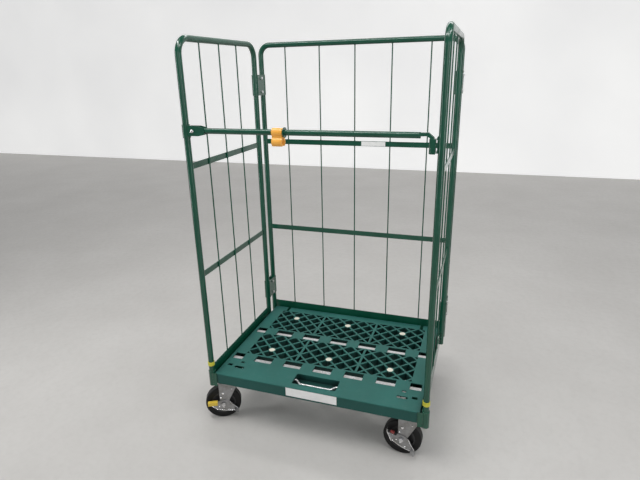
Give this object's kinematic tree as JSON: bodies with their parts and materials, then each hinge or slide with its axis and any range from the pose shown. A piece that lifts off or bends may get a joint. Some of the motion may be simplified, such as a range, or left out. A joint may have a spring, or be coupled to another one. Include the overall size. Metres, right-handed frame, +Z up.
{
  "type": "roll cage trolley",
  "caption": "Roll cage trolley: a green tube and wire cage open at the front, with a fold-up pierced resin deck, a hinged safety bar and braked swivel casters.",
  "frame": {"origin": "on the floor, under the middle of the whole trolley's box at rest", "axes": "+Z up, +Y from the open front to the back panel, +X to the right as seen from the front"},
  "size_m": [1.0484, 0.7772, 1.7],
  "materials": {
    "frame_paint": "gloss",
    "deck_resin": "matte",
    "zinc": "zinc plated",
    "fork_zinc": "zinc plated",
    "button_resin": "matte",
    "label_white": "satin",
    "ring_yellow": "satin",
    "clip_orange": "gloss",
    "tyre_rubber": "matte",
    "core_resin": "satin",
    "pad_yellow": "satin",
    "pad_red": "satin"
  },
  "bodies": {
    "back_frame": {"back_tube": "frame_paint", "back_wires": "frame_paint", "back_upper_rail": "frame_paint", "back_lower_rail": "frame_paint", "back_bottom_rail": "frame_paint", "back_label": "label_white", "deck_lugs": "frame_paint", "left_hinge_clamps": "frame_paint", "right_hinge_clamps": "frame_paint", "hinge_bolts": "zinc"},
    "left_side": {"left_tube": "frame_paint", "left_wires": "frame_paint", "left_upper_rail": "frame_paint", "left_lower_rail": "frame_paint", "left_bottom_rail": "frame_paint", "left_foot": "frame_paint", "left_ring": "ring_yellow", "left_front_plate": "fork_zinc", "left_rear_fork": "fork_zinc", "left_rear_axle": "zinc"},
    "right_side": {"right_tube": "frame_paint", "right_wires": "frame_paint", "right_upper_rail": "frame_paint", "right_lower_rail": "frame_paint", "right_bottom_rail": "frame_paint", "right_foot": "frame_paint", "right_ring": "ring_yellow", "right_front_plate": "fork_zinc", "right_rear_fork": "fork_zinc", "right_rear_axle": "zinc", "bar_keeper": "frame_paint"},
    "deck": {"deck_panel": "deck_resin", "deck_bars": "zinc", "deck_buttons": "button_resin", "deck_handle": "zinc", "deck_pins": "zinc", "deck_label": "label_white"},
    "bar_sleeve": {"bar_collar": "frame_paint", "bar_rivet": "zinc"},
    "safety_bar": {"bar_tube": "frame_paint", "bar_leg": "frame_paint", "bar_stop": "frame_paint"},
    "clip": {"bar_clip": "clip_orange"},
    "left_front_caster": {"left_front_fork": "fork_zinc", "left_front_axle": "zinc"},
    "left_front_wheel": {"left_front_tyre": "tyre_rubber", "left_front_core": "core_resin"},
    "left_brake_pedal": {"left_pedal": "fork_zinc", "left_pedal_pad": "pad_yellow"},
    "left_rear_wheel": {"left_rear_tyre": "tyre_rubber", "left_rear_core": "core_resin"},
    "right_front_caster": {"right_front_fork": "fork_zinc", "right_front_axle": "zinc"},
    "right_front_wheel": {"right_front_tyre": "tyre_rubber", "right_front_core": "core_resin"},
    "right_brake_pedal": {"right_pedal": "fork_zinc", "right_pedal_pad": "pad_red"},
    "right_rear_wheel": {"right_rear_tyre": "tyre_rubber", "right_rear_core": "core_resin"}
  },
  "joints": [
    {"name": "left_side_swing", "type": "hinge", "parent": "back_frame", "child": "left_side", "pos_m": [-0.4673, 0.2826, 0.9], "axis": [0, 0, -1], "range_deg": [0, 90]},
    {"name": "right_side_swing", "type": "hinge", "parent": "back_frame", "child": "right_side", "pos_m": [0.5047, 0.2826, 0.9], "axis": [0, 0, 1], "range_deg": [0, 90]},
    {"name": "deck_fold", "type": "hinge", "parent": "back_frame", "child": "deck", "pos_m": [0.0187, 0.3126, 0.226], "axis": [-1, 0, 0], "range_deg": [0, 88]},
    {"name": "bar_swing", "type": "hinge", "parent": "left_side", "child": "bar_sleeve", "pos_m": [-0.4673, -0.3514, 1.352], "axis": [0, 0, -1], "range_deg": [0, 110]},
    {"name": "bar_lift", "type": "hinge", "parent": "bar_sleeve", "child": "safety_bar", "pos_m": [-0.4333, -0.3514, 1.352], "axis": [0, -1, 0], "range_deg": [0, 80]},
    {"name": "clip_turn", "type": "hinge", "parent": "safety_bar", "child": "clip", "pos_m": [-0.0808, -0.3514, 1.352], "axis": [1, 0, 0], "continuous": true},
    {"name": "left_caster_swivel", "type": "hinge", "parent": "left_side", "child": "left_front_caster", "pos_m": [-0.4103, -0.2974, 0.197], "axis": [0, 0, 1], "continuous": true},
    {"name": "left_front_wheel_spin", "type": "hinge", "parent": "left_front_caster", "child": "left_front_wheel", "pos_m": [-0.44416, -0.31465, 0.0825], "axis": [-0.454, 0.891, 0], "continuous": true},
    {"name": "left_brake", "type": "hinge", "parent": "left_front_caster", "child": "left_brake_pedal", "pos_m": [-0.44416, -0.31465, 0.0825], "axis": [-0.454, 0.891, 0], "range_deg": [0, 14]},
    {"name": "left_rear_wheel_spin", "type": "hinge", "parent": "left_side", "child": "left_rear_wheel", "pos_m": [-0.4103, 0.2286, 0.0825], "axis": [1, 0, 0], "continuous": true},
    {"name": "right_caster_swivel", "type": "hinge", "parent": "right_side", "child": "right_front_caster", "pos_m": [0.4477, -0.2974, 0.197], "axis": [0, 0, 1], "continuous": true},
    {"name": "right_front_wheel_spin", "type": "hinge", "parent": "right_front_caster", "child": "right_front_wheel", "pos_m": [0.40977, -0.29515, 0.0825], "axis": [0.0593, 0.9982, 0], "continuous": true},
    {"name": "right_brake", "type": "hinge", "parent": "right_front_caster", "child": "right_brake_pedal", "pos_m": [0.40977, -0.29515, 0.0825], "axis": [0.0593, 0.9982, 0], "range_deg": [-14, 0]},
    {"name": "right_rear_wheel_spin", "type": "hinge", "parent": "right_side", "child": "right_rear_wheel", "pos_m": [0.4477, 0.2286, 0.0825], "axis": [1, 0, 0], "continuous": true}
  ]
}
